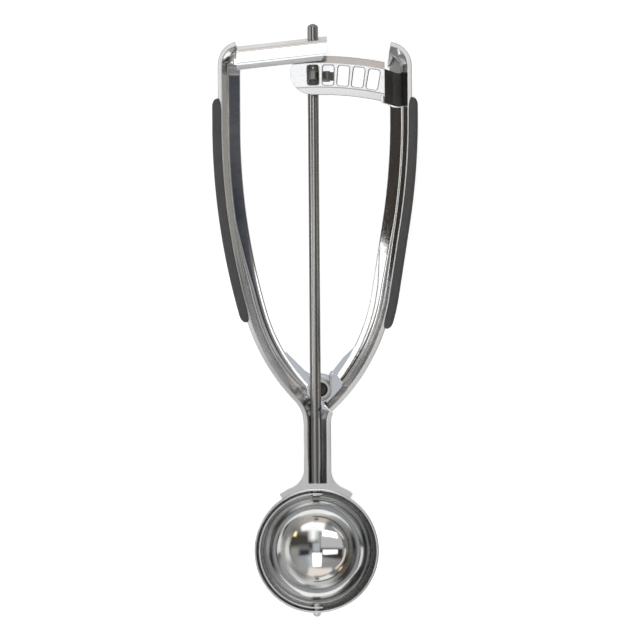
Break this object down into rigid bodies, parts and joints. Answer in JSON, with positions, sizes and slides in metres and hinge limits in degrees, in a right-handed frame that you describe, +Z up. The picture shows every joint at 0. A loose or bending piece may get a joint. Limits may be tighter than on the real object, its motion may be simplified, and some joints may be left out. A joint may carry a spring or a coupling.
{
  "type": "lever ice cream scoop",
  "caption": "Round bowl scoop with two squeezed arms; a slotted arc rack turns a toothed spindle that sweeps a thin scraper blade round the bowl",
  "frame": {"origin": "middle of the scoop's length on the surface that it lies on, under the spindle's axis", "axes": "+X towards the squeezed arm, +Y from the bowl to the ends of the arms, +Z up, out of the bowl"},
  "size_m": [0.0785, 0.2269, 0.0292],
  "materials": {
    "polished_steel": "polished stainless steel",
    "satin_steel": "satin stainless steel",
    "spring_steel": "drawn spring wire",
    "dark_steel": "sintered steel, dark and matt",
    "grip_rubber": "matt dark grey rubber"
  },
  "bodies": {
    "frame": {"main_frame": "polished_steel", "bowl": "polished_steel", "rod_guide": "polished_steel", "left_grip": "grip_rubber", "pivot_rivet": "satin_steel", "front_pivot_washer": "satin_steel", "back_pivot_washer": "satin_steel", "return_spring": "spring_steel", "blade_rivet": "satin_steel"},
    "lever": {"squeeze_lever": "polished_steel", "gear_rack": "polished_steel", "right_grip": "grip_rubber"},
    "rotor": {"spindle": "polished_steel", "pinion": "dark_steel", "pinion_pin": "satin_steel", "scraper_blade": "polished_steel", "drive_washer": "satin_steel"}
  },
  "joints": [
    {"name": "lever_pivot", "type": "hinge", "parent": "frame", "child": "lever", "pos_m": [0.0019, -0.02709, 0.01208], "axis": [0, 0.0778, 0.997], "range_deg": [0, 10.1], "stiffness_Nm_per_rad": 2, "springref_deg": -28.65, "deforming": ["return_spring"]},
    {"name": "spindle_turn", "type": "hinge", "parent": "frame", "child": "rotor", "pos_m": [0, 0.01174, 0.01607], "axis": [0, 0.997, -0.0778], "range_deg": [-165.27, 0]}
  ],
  "couplings": [
    {"joint": "spindle_turn", "follows": "lever_pivot", "ratio": -16.364}
  ]
}
